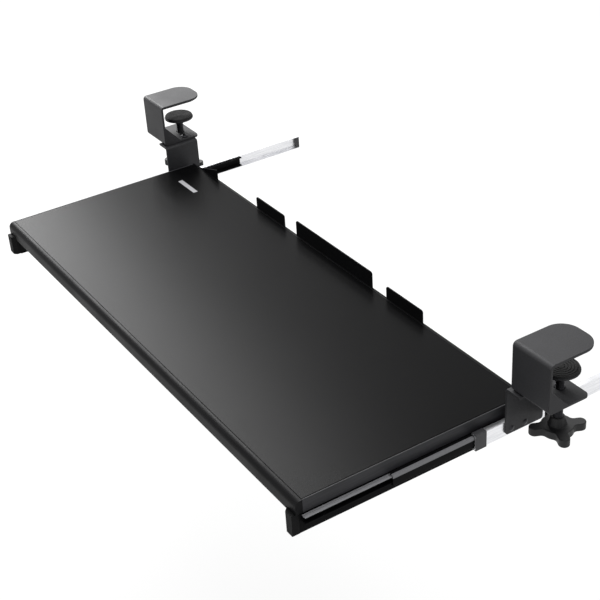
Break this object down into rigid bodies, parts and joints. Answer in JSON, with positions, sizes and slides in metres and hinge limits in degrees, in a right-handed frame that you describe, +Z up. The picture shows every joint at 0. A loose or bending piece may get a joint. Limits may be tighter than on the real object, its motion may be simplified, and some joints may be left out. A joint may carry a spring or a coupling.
{
  "type": "keyboard tray",
  "caption": "Pull-out keyboard tray: a flat board with a rear fence on ball-bearing slides that hang from screw clamps for a desk's edge.",
  "frame": {"origin": "centre of the board's top face, with the tray pulled out", "axes": "+X to the user's right along the board, +Y from the user towards the desk, +Z up"},
  "size_m": [0.84, 0.461, 0.1285],
  "materials": {
    "board": "black melamine",
    "edge_band": "satin",
    "black_steel": "powder coat",
    "zinc_steel": "zinc plated",
    "dark_slide_steel": "black e-coat",
    "ball_steel": "polished",
    "dark_screw": "black zinc",
    "black_plastic": "moulded",
    "grey_plastic": "moulded",
    "pad_rubber": "matt"
  },
  "bodies": {
    "root": {"hanger_bolts": "dark_screw", "hanger_nuts": "dark_screw", "hanger_rivets": "zinc_steel", "left_outer_member": "zinc_steel", "left_slide_bumper": "grey_plastic", "left_slide_buffer": "grey_plastic", "left_hanger": "black_steel", "left_clamp_frame": "black_steel", "left_tongue_pad": "pad_rubber", "left_clamp_nut": "dark_screw", "right_outer_member": "zinc_steel", "right_slide_bumper": "grey_plastic", "right_slide_buffer": "grey_plastic", "right_hanger": "black_steel", "right_clamp_frame": "black_steel", "right_tongue_pad": "pad_rubber", "right_clamp_nut": "dark_screw"},
    "tray": {"tray_board": "board", "front_edge_band": "edge_band", "rear_edge_band": "edge_band", "left_edge_band": "edge_band", "right_edge_band": "edge_band", "rear_fence": "black_steel", "fence_screws": "dark_screw", "rail_screws": "dark_screw", "slide_screws": "zinc_steel", "left_side_rail": "black_steel", "left_rail_cap": "black_plastic", "left_inner_member": "dark_slide_steel", "right_side_rail": "black_steel", "right_rail_cap": "black_plastic", "right_inner_member": "dark_slide_steel"},
    "left_middle": {"left_middle_member": "dark_slide_steel"},
    "left_inner_ball_cage": {"left_inner_cage": "zinc_steel", "left_inner_balls": "ball_steel"},
    "left_outer_ball_cage": {"left_outer_cage": "zinc_steel", "left_outer_balls": "ball_steel"},
    "left_pad": {"left_pressure_plate": "black_steel", "left_pad_cushion": "pad_rubber"},
    "left_screw": {"left_clamp_screw": "dark_screw", "left_knob": "black_plastic"},
    "right_middle": {"right_middle_member": "dark_slide_steel"},
    "right_inner_ball_cage": {"right_inner_cage": "zinc_steel", "right_inner_balls": "ball_steel"},
    "right_outer_ball_cage": {"right_outer_cage": "zinc_steel", "right_outer_balls": "ball_steel"},
    "right_pad": {"right_pressure_plate": "black_steel", "right_pad_cushion": "pad_rubber"},
    "right_screw": {"right_clamp_screw": "dark_screw", "right_knob": "black_plastic"}
  },
  "joints": [
    {"name": "tray_slide", "type": "slide", "parent": "root", "child": "tray", "axis": [0, 1, 0], "range_m": [0, 0.19]},
    {"name": "left_middle_slide", "type": "slide", "parent": "root", "child": "left_middle", "axis": [0, 1, 0], "range_m": [0, 0.095]},
    {"name": "left_inner_cage_slide", "type": "slide", "parent": "root", "child": "left_inner_ball_cage", "axis": [0, 1, 0], "range_m": [0, 0.1425]},
    {"name": "left_outer_cage_slide", "type": "slide", "parent": "root", "child": "left_outer_ball_cage", "axis": [0, 1, 0], "range_m": [0, 0.0475]},
    {"name": "left_pad_slide", "type": "slide", "parent": "root", "child": "left_pad", "axis": [0, 0, 1], "range_m": [-0.01401, 0.01501]},
    {"name": "left_screw_turn", "type": "hinge", "parent": "left_pad", "child": "left_screw", "pos_m": [-0.39275, 0.145, 0.0475], "axis": [0, 0, 1], "range_deg": [-3360, 3600]},
    {"name": "right_middle_slide", "type": "slide", "parent": "root", "child": "right_middle", "axis": [0, 1, 0], "range_m": [0, 0.095]},
    {"name": "right_inner_cage_slide", "type": "slide", "parent": "root", "child": "right_inner_ball_cage", "axis": [0, 1, 0], "range_m": [0, 0.1425]},
    {"name": "right_outer_cage_slide", "type": "slide", "parent": "root", "child": "right_outer_ball_cage", "axis": [0, 1, 0], "range_m": [0, 0.0475]},
    {"name": "right_pad_slide", "type": "slide", "parent": "root", "child": "right_pad", "axis": [0, 0, 1], "range_m": [-0.01401, 0.01501]},
    {"name": "right_screw_turn", "type": "hinge", "parent": "right_pad", "child": "right_screw", "pos_m": [0.39275, 0.145, 0.0475], "axis": [0, 0, 1], "range_deg": [-3360, 3600]}
  ],
  "couplings": [
    {"joint": "left_middle_slide", "follows": "tray_slide", "ratio": 0.5},
    {"joint": "left_inner_cage_slide", "follows": "tray_slide", "ratio": 0.75},
    {"joint": "left_outer_cage_slide", "follows": "tray_slide", "ratio": 0.25},
    {"joint": "left_pad_slide", "follows": "left_screw_turn", "m_per_rad": 0.00023873},
    {"joint": "right_middle_slide", "follows": "tray_slide", "ratio": 0.5},
    {"joint": "right_inner_cage_slide", "follows": "tray_slide", "ratio": 0.75},
    {"joint": "right_outer_cage_slide", "follows": "tray_slide", "ratio": 0.25},
    {"joint": "right_pad_slide", "follows": "right_screw_turn", "m_per_rad": 0.00023873}
  ]
}
